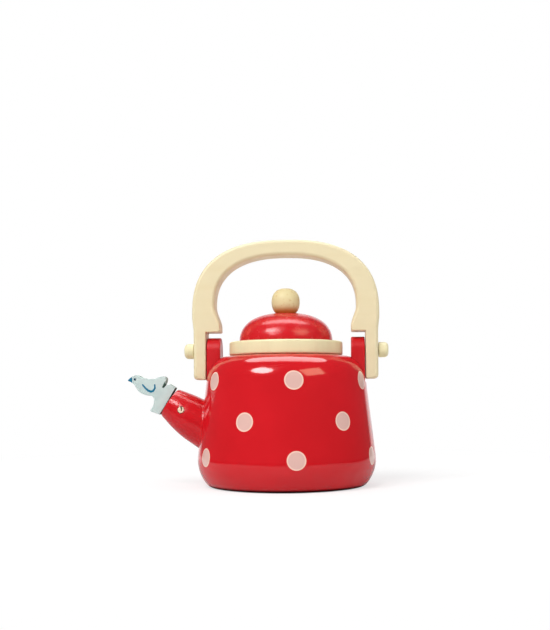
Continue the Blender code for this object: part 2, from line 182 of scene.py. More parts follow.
def turned(profile, steps):
    # point(s, a) = (r(s) cos a, r(s) sin a, h(s)): a profile carried round the Z axis
    angle = np.linspace(0, 2 * np.pi, steps, endpoint=False)
    radius, height = profile[:, :1], profile[:, 1:]
    return np.stack([radius * np.cos(angle), radius * np.sin(angle), height + 0 * angle], -1)


def board(outline, edge, halfDepth, steps=8):
    # point(u, v) = outline(u) + inward(u) edge(u) (1 - sin v), at depth halfDepth - edge(u) (1 - cos v),
    # v from 0 on the front face to 90 degrees on the side, then back again on the other face
    ahead = np.roll(outline, -1, 0) - outline
    ahead /= np.linalg.norm(ahead, axis=1, keepdims=True)
    inside = np.stack([-ahead[:, 1], ahead[:, 0]], 1)
    previous = np.roll(inside, 1, 0)
    mitre = (inside + previous) / (1 + (inside * previous).sum(1, keepdims=True))
    edge = np.broadcast_to(edge, len(outline))
    swing = np.radians(np.linspace(0, 90, steps + 1))[:, None]
    inset = edge * (1 - np.sin(swing))
    depth = halfDepth - edge * (1 - np.cos(swing))
    across = outline[:, 0] + mitre[:, 0] * inset
    rise = outline[:, 1] + mitre[:, 1] * inset
    front = np.stack([across, depth, rise], -1)
    back = np.stack([across, -depth, rise], -1)[::-1]
    return np.concatenate([front, back])


def placed(points, origin, out, up):
    # local (x, y, z) goes to origin + x up + y (out x up) + z out
    return origin + points @ np.stack([up, np.cross(out, up), out])


def rod(name, start, end, radius, steps=48):
    # straight round rod: a box profile carried round the line from start to end
    start = np.array(start, float)
    reach = np.array(end, float) - start
    length = np.linalg.norm(reach)
    out = reach / length
    aside = np.cross(out, np.eye(3)[np.argmin(np.abs(out))])
    profile = np.array([[0, 0], [radius, 0], [radius, length], [0, length]])
    return newPiece(name, placed(turned(profile, steps), start, out, aside / np.linalg.norm(aside)))


def block(name, low, high):
    # box between two corners: a rectangle at two heights
    corners = np.array([[low[0], low[1]], [high[0], low[1]], [high[0], high[1]], [low[0], high[1]]])
    rows = [np.column_stack([corners, np.full(4, height)]) for height in (low[2], high[2])]
    return newPiece(name, np.array(rows), endFaces=True)


# Shader sums

class Wire:
    # a socket in a node tree; sums on wires add Math nodes to the tree
    def __init__(self, tree, socket=None):
        self.tree = tree
        self.socket = socket

    def node(self, kind, values=None, output=0, **settings):
        # a new node with these values or wires on its inputs; gives one of its outputs
        made = self.tree.nodes.new("ShaderNode" + kind)
        for name, value in settings.items():
            setattr(made, name, value)
        for name, value in (values or {}).items():
            if isinstance(value, Wire):
                self.tree.links.new(value.socket, made.inputs[name])
            else:
                made.inputs[name].default_value = value
        return Wire(self.tree, made.outputs[output] if made.outputs else None)

    def math(self, operation, first, second):
        return self.node("Math", {0: first, 1: second}, operation=operation)

    def __add__(self, other):
        return self.math("ADD", self, other)

    def __sub__(self, other):
        return self.math("SUBTRACT", self, other)

    def __rsub__(self, other):
        return self.math("SUBTRACT", other, self)

    def __mul__(self, other):
        return self.math("MULTIPLY", self, other)

    __radd__, __rmul__ = __add__, __mul__

    def within(self, low, high):
        # 0 at low to 1 at high, with a soft start and end
        return self.node("MapRange", {"Value": self, "From Min": low, "From Max": high},
                         interpolation_type="SMOOTHSTEP")

    def mixed(self, first, second):
        # first where this mask is 0, second where it is 1
        return self.node("Mix", {0: self, 6: first, 7: second}, 2, data_type="RGBA")

    def axis(self, name):
        # X, Y or Z of a vector
        return self.node("SeparateXYZ", {"Vector": self}, name)


def srgb(red, green, blue):
    # linear colour of a screen colour
    share = np.array([red, green, blue]) / 255
    return (*(np.where(share <= 0.04045, share / 12.92, ((share + 0.055) / 1.055) ** 2.4)).tolist(), 1.0)


def newMaterial(name):
    material = bpy.data.materials.new(name)
    material.use_nodes = True
    tree = material.node_tree
    tree.nodes.clear()
    return material, Wire(tree)


def objectPlace(tree):
    return tree.node("TexCoord", output="Object")


def rayKinds(tree):
    # 1 for a ray from the camera, and for one from a gloss
    return (tree.node("LightPath", output=f"Is {kind} Ray") for kind in ("Camera", "Glossy"))


def noise(tree, scale, detail=2.0, stretch=(1, 1, 1)):
    # noise between 0 and 1 on object coordinates, drawn out by stretch
    place = tree.node("Mapping", {"Vector": objectPlace(tree), "Scale": stretch})
    return tree.node("TexNoise", {"Vector": place, "Scale": scale, "Detail": detail})


def relief(tree, distance, height):
    # bump on the normal that rises by that distance where height is 1
    return {"Normal": tree.node("Bump", {"Distance": distance, "Height": height})}


def surface(tree, paint, colour, patches, values):
    # one Principled shader and the material's output; patches add the paint's spread to its roughness
    values = {"Base Color": colour, "Roughness": paint["roughness"] + paint["spread"] * patches,
              "Specular IOR Level": paint["specular"], **values}
    tree.node("OutputMaterial", {"Surface": tree.node("BsdfPrincipled", values)})


# Finishes; a span is where a noise turns from 0 to 1

# the darkest red here is painted contact shade for the foot's lowest edge
redPaint = dict(colour=srgb(209, 22, 32), deep=srgb(203, 20, 29), darkened=srgb(176, 16, 24),
                footShade=srgb(58, 9, 10), footShadeSpan=(0.0006, 0.0025), mottleScale=22.0, mottleSpan=(0.3, 0.7),
                mottlePool=0.1, peelScale=700.0, peelHeight=0.000006, roughness=0.30, spread=0.06,
                specular=0.0, gloss=0.11)
dotPaint = dict(colour=srgb(224, 182, 172), edge=srgb(245, 210, 192), radius=0.00615, rim=0.0008,
                soft=0.00012, rimSoft=0.00036)


def redMottle(tree):
    return noise(tree, redPaint["mottleScale"], detail=3.0).within(*redPaint["mottleSpan"])


def redColour(mottle, shadeShare):
    # the lacquer's faintly mottled colour, deeper where the mottle pools, and mixed towards the darker red by
    # a share of painted shade
    colour = mottle.mixed(redPaint["colour"], redPaint["deep"])
    return (shadeShare + redPaint["mottlePool"] * mottle).mixed(colour, redPaint["darkened"])


def dottedLacquer(name):
    # gloss lacquer under a clear coat, with pale dots; the foot's lowest edge is painted dark and dull, as
    # painted contact shade
    material, tree = newMaterial(name)
    mottle = redMottle(tree)
    # painted shade at the foot's lowest edge: the red turns dark maroon there and loses its coat
    aboveFootShade = objectPlace(tree).axis("Z").within(*redPaint["footShadeSpan"])
    colour = aboveFootShade.mixed(redPaint["footShade"], redColour(mottle, 0.0))
    fromDot = tree.node("Attribute", output=2, attribute_name="dotDistance")
    radius, soft = dotPaint["radius"], dotPaint["soft"]
    inside = 1 - fromDot.within(radius - soft, radius + soft)
    rimRadius, rimSoft = radius - dotPaint["rim"], dotPaint["rimSoft"]
    rim = fromDot.within(rimRadius - rimSoft, rimRadius + rimSoft)
    colour = inside.mixed(colour, rim.mixed(dotPaint["colour"], dotPaint["edge"]))
    peel = relief(tree, redPaint["peelHeight"], noise(tree, redPaint["peelScale"]))
    coat = {"Coat Weight": aboveFootShade, "Coat Roughness": redPaint["gloss"]}
    surface(tree, redPaint, colour, mottle, {**peel, **coat})
    return material


rubbedPaint = dict(gritScale=650.0, gritHeight=0.00011, patchScale=170.0, patchSpan=(0.35, 0.65), spread=0.10)


def rubbedLacquer(name, shadeShare=0.0, **gloss):
    # lacquer rubbed down by hand: its gloss breaks up over a fine grit and dulls in patches
    paint = dict(rubbedPaint, **gloss)
    material, tree = newMaterial(name)
    grit = noise(tree, paint["gritScale"], detail=3.0)
    patch = noise(tree, paint["patchScale"]).within(*paint["patchSpan"])
    surface(tree, paint, redColour(redMottle(tree), shadeShare), patch, relief(tree, paint["gritHeight"], grit))
    return material


# the board's cream is a darker copy of the turned pieces' cream, painted shade against the stronger light on
# the handle
creamPaint = dict(shadedOnBoard=srgb(231, 217, 178), onTurning=srgb(236, 226, 182), streak=srgb(227, 211, 168),
                  boardStretch=(0.12, 1.0, 1.0), turningStretch=(1.0, 1.0, 0.2), grainScale=130.0,
                  grainSpan=(0.42, 0.72), grainHeight=0.000012, cloudScale=18.0, roughness=0.42,
                  spread=0.10, specular=0.42)


def creamSatin(name, stretch, colour):
    # satin paint over wood: the grain shows as faint streaks and a slight relief
    paint = creamPaint
    material, tree = newMaterial(name)
    grain = noise(tree, paint["grainScale"], detail=4.0, stretch=stretch)
    cloud = noise(tree, paint["cloudScale"])
    streaked = (grain.within(*paint["grainSpan"]) * cloud).mixed(colour, paint["streak"])
    surface(tree, paint, streaked, cloud, relief(tree, paint["grainHeight"], grain))
    return material


knobPaint = dict(pale=srgb(226, 211, 162), seatShade=srgb(194, 134, 62), freckle=srgb(210, 178, 126),
                 seat=0.0006, clear=0.0074, freckleScale=420.0, freckleSpan=(0.52, 0.72),
                 freckleShare=0.6, freckleHeight=0.000012, roughness=0.36, spread=0.12, specular=0.16)


def knobVarnish(name, foot):
    # clear varnish on a pale ball, freckled; towards its seat it is painted darker amber, as painted shade
    # and red reflection from the dome
    paint = knobPaint
    material, tree = newMaterial(name)
    freckle = noise(tree, paint["freckleScale"], detail=3.0).within(*paint["freckleSpan"])
    colour = (paint["freckleShare"] * freckle).mixed(paint["pale"], paint["freckle"])
    # painted shade and red reflection under the ball, darkest at its seat
    darkened = 1 - objectPlace(tree).axis("Z").within(foot + paint["seat"], foot + paint["clear"])
    colour = (darkened * darkened).mixed(colour, paint["seatShade"])
    surface(tree, paint, colour, freckle, relief(tree, paint["freckleHeight"], freckle))
    return material


woodFinish = dict(pale=srgb(232, 206, 168), dark=srgb(208, 172, 128), stretch=(1.0, 1.0, 0.10),
                  figureScale=90.0, figureSpan=(0.35, 0.70), poreScale=810.0, poreSpan=(0.58, 0.72),
                  poreShare=0.5, poreHeight=0.00003, roughness=0.58, spread=0.12, specular=0.3)


def bareWood(name):
    # uncoated pale hardwood: long figure with fine pores
    paint = woodFinish
    material, tree = newMaterial(name)
    figure = noise(tree, paint["figureScale"], detail=4.0, stretch=paint["stretch"])
    pores = noise(tree, paint["poreScale"], stretch=paint["stretch"])
    colour = figure.within(*paint["figureSpan"]).mixed(paint["pale"], paint["dark"])
    colour = (paint["poreShare"] * pores.within(*paint["poreSpan"])).mixed(colour, paint["dark"])
    surface(tree, paint, colour, figure, relief(tree, paint["poreHeight"], pores))
    return material


redDotted = dottedLacquer("redLacquerWithDots")
redDome = rubbedLacquer("redLacquerOnDome", roughness=0.18, specular=0.42)
redSpout = rubbedLacquer("redLacquerOnSpout", roughness=0.12, specular=0.36)
# painted shade: the lugs' red is mixed towards the darker red, a shaded copy of the same lacquer
redLug = rubbedLacquer("redLacquerOnLugs", roughness=0.30, specular=0.25, shadeShare=0.22)
creamBoard = creamSatin("creamPaintOnBoard", creamPaint["boardStretch"], creamPaint["shadedOnBoard"])
creamTurned = creamSatin("creamPaintOnTurning", creamPaint["turningStretch"], creamPaint["onTurning"])
wood = bareWood("bareWood")
print("finishes made")


# Body

kettle = dict(bellyHeight=0.0180, footRound=0.0098, taper=0.0063, shoulderRise=0.0181, shoulderWidth=0.0155,
              landWidth=0.0050, floorThickness=0.0120, lipRound=0.0007, floorRound=0.0020, footCut=0.055,
              notchGap=0.0003, notchReach=0.01, boreSlack=0.0001, steps=288, curveSteps=40, flankPoints=38)
polkaDots = (
    (0.0713, (-57.5, 8.0, 69.2, 130, 190, 246)),
    (0.0449, (-24.6, 41.7, 101, 160, 219)),
    (0.0208, (8.7, 133, 193, 249)),
    (0.0212, (-58.6, 72.0)),
)  # height of each row, then degrees round from the front to the right
bodyHeight = nodeBox("kettle_body")[1][2]
bellyRadius = nodeBox("kettle_body")[1][0]
shoulderHeight = bodyHeight - kettle["shoulderRise"]
shoulderRadius = bellyRadius - kettle["taper"]
landRadius = shoulderRadius - kettle["shoulderWidth"]
mouthRadius = landRadius - kettle["landWidth"]
flankSlope = kettle["taper"] / (shoulderHeight - kettle["bellyHeight"])


def leanAngle(width, height):
    # where an ellipse of that width and height leans as the flank does, in degrees
    return math.degrees(math.atan(flankSlope * height / width))


def bodyProfile():
    floor, steps = kettle["floorThickness"], kettle["curveSteps"]
    lip = (mouthRadius, bodyHeight)
    inside = softCorner((0, floor), (mouthRadius, floor), lip, kettle["floorRound"])
    mouth = softCorner((mouthRadius, floor), lip, (landRadius, bodyHeight), kettle["lipRound"])
    width, rise = kettle["shoulderWidth"], kettle["shoulderRise"]
    shoulder = arc((landRadius, shoulderHeight), (width, rise), 90, leanAngle(width, rise), steps)
    width, rise = kettle["footRound"], kettle["bellyHeight"]
    foot = arc((0, 0), (width, rise), leanAngle(width, rise), -90, steps)
    # the turner's cut flattens the foot: scaled by 1 - f sin(2 a)^2 below the belly
    swing = np.clip(foot[:, 1] / rise, -1, 0) * foot[:, 0] / width * 2
    foot = foot * (1 - kettle["footCut"] * swing[:, None] ** 2) + (bellyRadius - width, rise)
    flank = np.linspace(shoulder[-1], foot[0], kettle["flankPoints"])[1:-1]
    return np.vstack([(0, floor), inside, mouth, shoulder, flank, foot, (0, 0)])


def dotCentres():
    # each dot's middle on the shoulder's or the flank's surface
    rings = []
    for height, angles in polkaDots:
        turn = np.radians(angles)
        onShoulder = max(height - shoulderHeight, 0) / kettle["shoulderRise"]
        radius = landRadius + kettle["shoulderWidth"] * math.sqrt(1 - onShoulder ** 2)
        if height < shoulderHeight:
            radius = bellyRadius - flankSlope * (height - kettle["bellyHeight"])
        rings.append(np.stack([radius * np.sin(turn), -radius * np.cos(turn), np.full(len(turn), height)], 1))
    return np.vstack(rings)


def dowelHole(node, gap):
    # hole for an upright dowel, from its node's box
    low, high = nodeBox(node)
    middle = (low + high) / 2
    reach = np.array([0, 0, (high - low)[2] / 2 + gap])
    return rod(node + "Hole", middle - reach, middle + reach, (high - low)[1] / 2 + gap)


def makeBody():
    body = newPiece("turnedBody", turned(bodyProfile(), kettle["steps"]))
    gap = kettle["notchGap"]
    for lug in ("left_lug", "right_lug"):
        # the lug's notch is open to the outside
        low, high = nodeBox(lug)
        away = (np.sign(low[0]) * kettle["notchReach"], 0, 0)
        low, high = low - gap, high + (gap, gap, 0)
        carve(body, block("notch", np.minimum(low, low + away), np.maximum(high, high + away)))
    for dowel in lugDowels:
        carve(body, dowelHole(dowel, gap))
    mesh = body.data
    fromDot = np.linalg.norm(readPlaces(mesh.vertices, "co")[:, None] - dotCentres()[None], axis=2).min(1)
    mesh.attributes.new("dotDistance", "FLOAT", "POINT").data.foreach_set("value", fromDot)
    settle(body, redDotted, "kettle", "red_lacquer", "kettle_body")
    # bare wood in the bore, above the base and below the lip
    mesh.materials.append(wood)
    x, y, z = readPlaces(mesh.polygons, "center").T
    bore = (np.hypot(x, y) < mouthRadius + kettle["boreSlack"]) & (z > kettle["floorThickness"] / 2)
    bore &= z < bodyHeight - kettle["lipRound"]
    mesh.polygons.foreach_set("material_index", bore.astype(np.int32))


makeBody()
print("body made")


# Lugs and pegs

lugShape = dict(edge=0.0008, footRound=0.0010, holeGap=0.0003, holeEnd=0.08, topSteps=48, spacing=0.002)
pegShape = dict(shank=0.0030, headRound=0.0028, footRound=0.0004, backRound=0.0005, headLength=0.0066,
                headSteps=14, steps=72)
pivotHeight = frame["record"]["behaviour"]["joints"][0]["pos_m"][2]


def lugOutline(node):
    # flat foot, upright sides and a half-round top about the pivot
    low, high = nodeBox(node)
    half = (high[1] - low[1]) / 2
    foot, top = low[2], pivotHeight
    left = softCorner((-half, top), (-half, foot), (half, foot), lugShape["footRound"])
    right = softCorner((-half, foot), (half, foot), (half, top), lugShape["footRound"])
    crown = arc((0, top), (half, half), 0, 180, lugShape["topSteps"])
    return refined(np.vstack([left, right, crown]), lugShape["spacing"])


def makeLug(node, name):
    low, high = nodeBox(node)
    points = board(lugOutline(node), lugShape["edge"], (high[0] - low[0]) / 2)
    middle = (low[0] + high[0]) / 2
    points = np.stack([points[..., 1] + middle, points[..., 0], points[..., 2]], -1)
    lug = newPiece(name, points, endFaces=True)
    gap = lugShape["holeGap"]
    pegLow, pegHigh = nodeBox(node.replace("lug", "pivot_peg"))
    side = np.sign(middle)
    inner = min(abs(pegLow[0]), abs(pegHigh[0])) - gap
    hole = rod("pegHole", (side * inner, 0, pivotHeight), (side * lugShape["holeEnd"], 0, pivotHeight),
               pegShape["shank"] + gap)
    carve(lug, hole, dowelHole(node + "_dowel_front", gap), dowelHole(node + "_dowel_back", gap))
    settle(lug, redLug, "kettle", "red_lacquer", node, flatFaces=True)


def makePeg(node, name):
    # heights run outwards along X from the shank's inner end
    low, high = nodeBox(node)
    ends = np.sort(np.abs([low[0], high[0]]))
    head, shank, bend = (high[2] - low[2]) / 2, pegShape["shank"], pegShape["headRound"]
    face = ends[1] - pegShape["headLength"]
    crown = arc((head - bend, ends[1] - bend), (bend, bend), 90, 0, pegShape["headSteps"])
    back = softCorner(crown[-1], (head, face), (shank, face), pegShape["backRound"], steps=5)
    foot = softCorner((shank, face), (shank, ends[0]), (0, ends[0]), pegShape["footRound"], steps=4)
    profile = np.vstack([(0, ends[1]), crown, back, (shank, face), foot, (0, ends[0])])
    points = placed(turned(profile, pegShape["steps"]), np.array([0, 0, pivotHeight]),
                    np.array([np.sign(low[0]), 0, 0]), np.array([0, 0, 1.0]))
    settle(newPiece(name, points), creamTurned, "kettle", "cream_paint", node)


for side in ("left", "right"):
    makeLug(side + "_lug", side + "Lug")
    makePeg(side + "_pivot_peg", side + "Peg")
print("lugs and pegs made")


# Handle

handleShape = dict(edge=0.0025, innerEdge=0.0009, edgeEase=(0.001, 0.010), edgeMargin=0.001, edgeSteps=10,
                   barThickness=0.0106, armThickness=0.0085, archBow=0.0009, archWidth=0.0155, archSteps=56,
                   outerSpring=0.0237, outerSquareness=2.55, innerSpring=0.0302, innerSquareness=2.44,
                   stepGap=0.0036, stepInner=0.0446, stepHeight=0.0042, armCorner=0.0026,
                   armInnerCorner=0.0010, stepCorner=0.0010, holeRadius=0.0035, holeOverrun=0.002,
                   spacing=0.0014)
handleLow, handleHigh = nodeBox("bail_handle")
handleHalfDepth = (handleHigh[1] - handleLow[1]) / 2
armOuter = handleHigh[0] - handleShape["archBow"]
armInner = armOuter - handleShape["armThickness"]
armStep = handleHalfDepth + handleShape["stepGap"]


def archSide(halfWidth, spring, crown, squareness):
    # right half of the arch from its spring up to its crown, heights above the pivot
    return superArc((halfWidth, crown - spring), squareness, 0, 90, handleShape["archSteps"]) + (0, spring)


def handleHalf():
    # right half of the outline, from the outer crown down the outside and back up the inside
    shape, step = handleShape, armStep
    crown, foot = handleHigh[2] - pivotHeight, handleLow[2] - pivotHeight
    outer, stepInner = handleHigh[0], shape["stepInner"]
    inner = outer - shape["archWidth"]
    outside = np.vstack([eased((armOuter, step), (outer, shape["outerSpring"]), steps=14),
                         archSide(outer, shape["outerSpring"], crown, shape["outerSquareness"])])
    stepTop = (stepInner, step + shape["stepHeight"])
    inside = np.vstack([eased(stepTop, (inner, shape["innerSpring"]), steps=16),
                        archSide(inner, shape["innerSpring"], crown - shape["barThickness"],
                                 shape["innerSquareness"])])
    armFoot = softCorner((armOuter, step), (armOuter, foot), (armInner, foot), shape["armCorner"])
    armInside = softCorner((armOuter, foot), (armInner, foot), (armInner, step), shape["armInnerCorner"])
    stepTip = softCorner((armInner, step), (stepInner, step), inside[0], shape["stepCorner"])
    return np.vstack([outside[::-1], armFoot, armInside, [(armInner, step)], stepTip, inside])


def makeHandle():
    shape = handleShape
    right = handleHalf()
    left = (right[1:-1] * (-1, 1))[::-1]
    outline = refined(np.vstack([right, left])[::-1], shape["spacing"])
    # edges are sharper on the inside of the lower arms
    easeStart, easeEnd = shape["edgeEase"]
    margin = shape["edgeMargin"]
    lowArm = 1 - smoothStep(armStep + easeStart, armStep + easeEnd, outline[:, 1])
    innerSide = 1 - smoothStep(armInner + margin, armOuter - margin, np.abs(outline[:, 0]))
    edge = shape["edge"] + (shape["innerEdge"] - shape["edge"]) * lowArm * innerSide
    points = board(outline, edge, handleHalfDepth, shape["edgeSteps"]) + (0, 0, pivotHeight)
    handle = newPiece("bailHandle", points, endFaces=True)
    for side in (-1, 1):
        start, end = side * (armInner - shape["holeOverrun"]), side * (armOuter + shape["holeOverrun"])
        carve(handle, rod("armHole", (start, 0, pivotHeight), (end, 0, pivotHeight), shape["holeRadius"]))
    settle(handle, creamBoard, "handle", "cream_paint", "bail_handle", flatFaces=True)


makeHandle()
print("handle made")


# Lid

lidShape = dict(hole=0.0033, plugEdge=0.0013, rimEdge=0.0013, domeSquareness=2.45, domeRise=0.0195,
                domeDrop=0.0015, domeFoot=0.0008, domeSteps=72, knobRadii=(0.0097, 0.00965),
                knobSquareness=2.3, knobSeat=0.0064, knobCrown=0.0035, knobSteps=32, stemGap=0.0003,
                steps=192, knobTurns=144)


def lidRing(name, profile, material, slotName, node):
    # a piece of the lid, turned about the hole for its stem
    ring = newPiece(name, turned(np.vstack(profile), lidShape["steps"]), ringRows=True)
    settle(ring, material, "lid", slotName, node)


def makePlug():
    hole = lidShape["hole"]
    low, high = nodeBox("lid_plug")
    radius = high[0]
    foot = softCorner((radius, high[2]), (radius, low[2]), (hole, low[2]), lidShape["plugEdge"])
    profile = [(hole, high[2]), (radius, high[2]), foot, (hole, low[2])]
    lidRing("lidPlug", profile, wood, "bare_wood", "lid_plug")


def makeRim():
    hole, edge = lidShape["hole"], lidShape["rimEdge"]
    low, high = nodeBox("lid_rim")
    radius = high[0]
    top = softCorner((hole, high[2]), (radius, high[2]), (radius, low[2]), edge, steps=12)
    foot = softCorner((radius, high[2]), (radius, low[2]), (hole, low[2]), edge, steps=12)
    profile = [(hole, high[2]), top, foot, (hole, low[2])]
    lidRing("lidRim", profile, creamTurned, "cream_paint", "lid_rim")


def makeDome():
    # superellipse whose widest level lies a drop below the foot, cut off at the knob's seat and at the foot
    hole, drop, squareness = lidShape["hole"], lidShape["domeDrop"], lidShape["domeSquareness"]
    low, high = nodeBox("lid_dome")
    rise = lidShape["domeRise"] + drop
    seat, foot = ((np.array([high[2] - low[2], 0]) + drop) / rise) ** squareness
    widest = high[0] / (1 - foot) ** (1 / squareness)
    start, end = np.degrees(np.arcsin(np.sqrt([seat, foot])))
    curve = superArc((widest, rise), squareness, start, end, lidShape["domeSteps"]) + (0, low[2] - drop)
    foot = softCorner(curve[-4], curve[-1], (hole, low[2]), lidShape["domeFoot"], steps=4)
    profile = [(hole, high[2]), curve[:-4], foot, (hole, low[2])]
    lidRing("lidDome", profile, redDome, "red_lacquer", "lid_dome")


def makeKnob():
    # a ball a little squarer than round: superellipse quarters over and under its middle, cut at both ends
    hole, radii, squareness = lidShape["hole"], lidShape["knobRadii"], lidShape["knobSquareness"]
    low = nodeBox("lid_knob")[0]
    cuts = np.array([lidShape["knobCrown"], lidShape["knobSeat"]]) / radii[0]
    crown, seat = np.degrees(np.arccos(cuts ** (squareness / 2)))
    upper = superArc(radii, squareness, crown, 0, lidShape["knobSteps"])
    lower = superArc(radii, squareness, 0, seat, lidShape["knobSteps"]) * (1, -1)
    ball = np.vstack([upper, lower[1:]]) + (0, low[2] - lower[-1, 1])
    stemTop = nodeBox("lid_stem")[1][2] + lidShape["stemGap"]
    profile = np.vstack([(0, ball[0, 1]), ball, (hole, low[2]), (hole, stemTop), (0, stemTop)])
    knob = newPiece("lidKnob", turned(profile, lidShape["knobTurns"]))
    settle(knob, knobVarnish("varnishedKnob", low[2]), "lid", "cream_paint", "lid_knob")


makePlug()
makeRim()
makeDome()
makeKnob()
print("lid made")


# Spout, in its own frame: out along its axis from the tip, up across it

spoutShape = dict(rootHeight=0.0421, angle=34.4, length=0.0273, tipRadius=0.0107, bellyRadius=0.0150,
                  swell=0.0250, edge=0.0008, edgeEnd=-12, edgeGap=0.0004, gap=-0.0001, fillet=0.0006,
                  filletRun=0.0008, farthest=0.06, halvings=40, steps=192, sidePoints=61, crowding=1.5,
                  copePoints=16, mortiseDepth=0.0170, mortiseWall=0.0020, mortiseGap=0.0005, holeGap=0.0003,
                  holeOverrun=0.002)
spoutAngle = math.radians(spoutShape["angle"])
spoutOut = np.array([-math.cos(spoutAngle), 0, math.sin(spoutAngle)])
spoutUp = np.array([math.sin(spoutAngle), 0, math.cos(spoutAngle)])
rootHeight = spoutShape["rootHeight"]
spoutRoot = np.array([flankSlope * (rootHeight - kettle["bellyHeight"]) - bellyRadius, 0, rootHeight])
spoutTip = spoutRoot + spoutOut * spoutShape["length"]


def spoutRadius(back):
    # swells by a quarter sine from the tip, then runs straight
    swell = np.sin(np.clip(back / spoutShape["swell"], 0, 1) * np.pi / 2)
    return spoutShape["tipRadius"] + (spoutShape["bellyRadius"] - spoutShape["tipRadius"]) * swell


def onSpout(radius, angle, back):
    # place at that radius and angle about the axis, that far back from the tip
    local = np.stack(np.broadcast_arrays(radius * np.cos(angle), radius * np.sin(angle), -back), -1)
    return placed(local, spoutTip, spoutOut, spoutUp)


def copeDepth(radiusAt, angle):
    # how far back from the tip the flank is met, by halving: outside it moves back, inside it moves out
    near, far = np.zeros(angle.shape), np.full(angle.shape, spoutShape["farthest"])
    for halving in range(spoutShape["halvings"]):
        middle = (near + far) / 2
        place = onSpout(radiusAt(middle), angle, middle)
        flank = bellyRadius - flankSlope * (place[..., 2] - kettle["bellyHeight"]) + spoutShape["gap"]
        outside = np.hypot(place[..., 0], place[..., 1]) > flank
        near, far = np.where(outside, middle, near), np.where(outside, far, middle)
    return near


def mortiseHalves():
    # half width and half depth of the mortise: as wide as the tip's wall leaves it, as deep as the bird
    depth = nodeBox("whistle_bird")[1][1] + spoutShape["mortiseGap"]
    return math.sqrt((spoutShape["tipRadius"] - spoutShape["mortiseWall"]) ** 2 - depth ** 2), depth


def pinBore(name, half, gap):
    # hole for the cross pin through a piece of that half thickness
    low, high = nodeBox("whistle_pin")
    middle = (low + high) / 2
    reach = np.array([0, half + spoutShape["holeOverrun"], 0])
    return rod(name, middle - reach, middle + reach, (high[0] - low[0]) / 2 + gap)


def makeSpout():
    shape = spoutShape
    angle = np.linspace(0, 2 * np.pi, shape["steps"], endpoint=False)
    edge, fillet = shape["edge"], shape["fillet"]
    lip = arc((shape["tipRadius"] - edge, edge), (edge, edge), -90, shape["edgeEnd"], steps=8)
    tip = np.vstack([(0, 0), lip])
    tip = onSpout(tip[:, :1], angle, tip[:, 1:])
    end = copeDepth(lambda depth: spoutRadius(depth) + fillet, angle)
    # rows crowd together towards the body
    share = np.linspace(0, 1, shape["sidePoints"])[:, None]
    crowded = 1 - (1 - share) ** shape["crowding"]
    back = lip[-1, 1] + shape["edgeGap"] + (end - lip[-1, 1] - shape["edgeGap"]) * crowded
    # the lacquer's fillet adds f exp(-d / run) to the radius, d being the distance to the flank
    side = onSpout(spoutRadius(back) + fillet * np.exp((back - end) / shape["filletRun"]), angle, back)
    rim = (spoutRadius(end) + fillet) * np.linspace(1, 0, shape["copePoints"])[1:, None]
    around = np.broadcast_to(angle, rim.shape)
    cope = onSpout(rim, around, copeDepth(lambda depth: rim, around))
    spout = newPiece("turnedSpout", np.concatenate([tip, side, cope]))

    corners = np.array([[-1, -1], [1, -1], [1, 1], [-1, 1]]) * mortiseHalves()
    depths = np.array([-shape["mortiseDepth"], edge])[:, None]
    slot = np.stack(np.broadcast_arrays(corners[:, 0], corners[:, 1], depths), -1)
    mortise = newPiece("mortise", placed(slot, spoutTip, spoutOut, spoutUp), endFaces=True)
    carve(spout, mortise, pinBore("pinHole", nodeBox("whistle_pin")[1][1], shape["holeGap"]))
    settle(spout, redSpout, "kettle", "red_lacquer", "spout")


makeSpout()
print("spout made")


# Bird whistle and its pin; drawn in mm out from the spout's tip and up from its axis

birdShape = dict(edge=0.0005, corner=0.0006, cornerCosine=0.8, cornerReach=2.4, cornerSteps=6, baseGap=0.0005,
                 droopGap=0.0012, rockGap=0.0015, pinGap=0.0005, handleShare=0.39, curveSteps=12)
birdFoot = ((7.6, -12.5),)
birdBelly = ((8.5, -6.4), (11.6, -3.3), (16.0, -4.9), (21.1, -5.7), (27.2, -3.5))
birdBeak = ((29.8, -3.3), (32.4, -4.0), (31.6, -0.9))
birdBack = ((29.6, 2.5), (24.1, 3.8), (17.3, 7.9))
birdTail = ((14.3, 11.7), (11.5, 12.8), (9.9, 11.0))
birdNotch = ((9.0, 5.9), (6.9, 10.5))
# eye, notch and wing are strokes, with a half width at each point
birdPaint = dict(colour=srgb(199, 216, 212), cloudy=srgb(190, 208, 205), teal=srgb(0, 110, 144),
                 eye=srgb(18, 58, 82), gapShade=srgb(52, 22, 20), sideTone=srgb(156, 180, 170),
                 notchShade=srgb(62, 92, 80), beakLine=((28.73, -2.99), (30.69, -0.34)), beakSoft=0.00008,
                 eyeSpot=((28.38, -0.20, 0.80), (28.43, -0.20, 0.80)),
                 notch=((9.15, 6.5, 0.75), (9.75, 8.7, 0.50), (10.15, 10.6, 0.10)), notchSoft=0.0002,
                 wing=((21.77, -0.30, 0.52), (19.0, -1.05, 0.62), (16.6, -1.45, 0.78), (14.45, -0.95, 0.80),
                       (13.4, 0.35, 0.70), (13.45, 2.52, 0.60), (14.85, 4.35, 0.50)), soft=0.0001,
                 sideToneDepth=(0.0008, 0.0004), gapShadeSpan=(0.0001, 0.0003), cloudScale=160.0,
                 cloudSpan=(0.35, 0.7), grainScale=600.0, grainHeight=0.00001, roughness=0.45, spread=0.1,
                 specular=0.22)


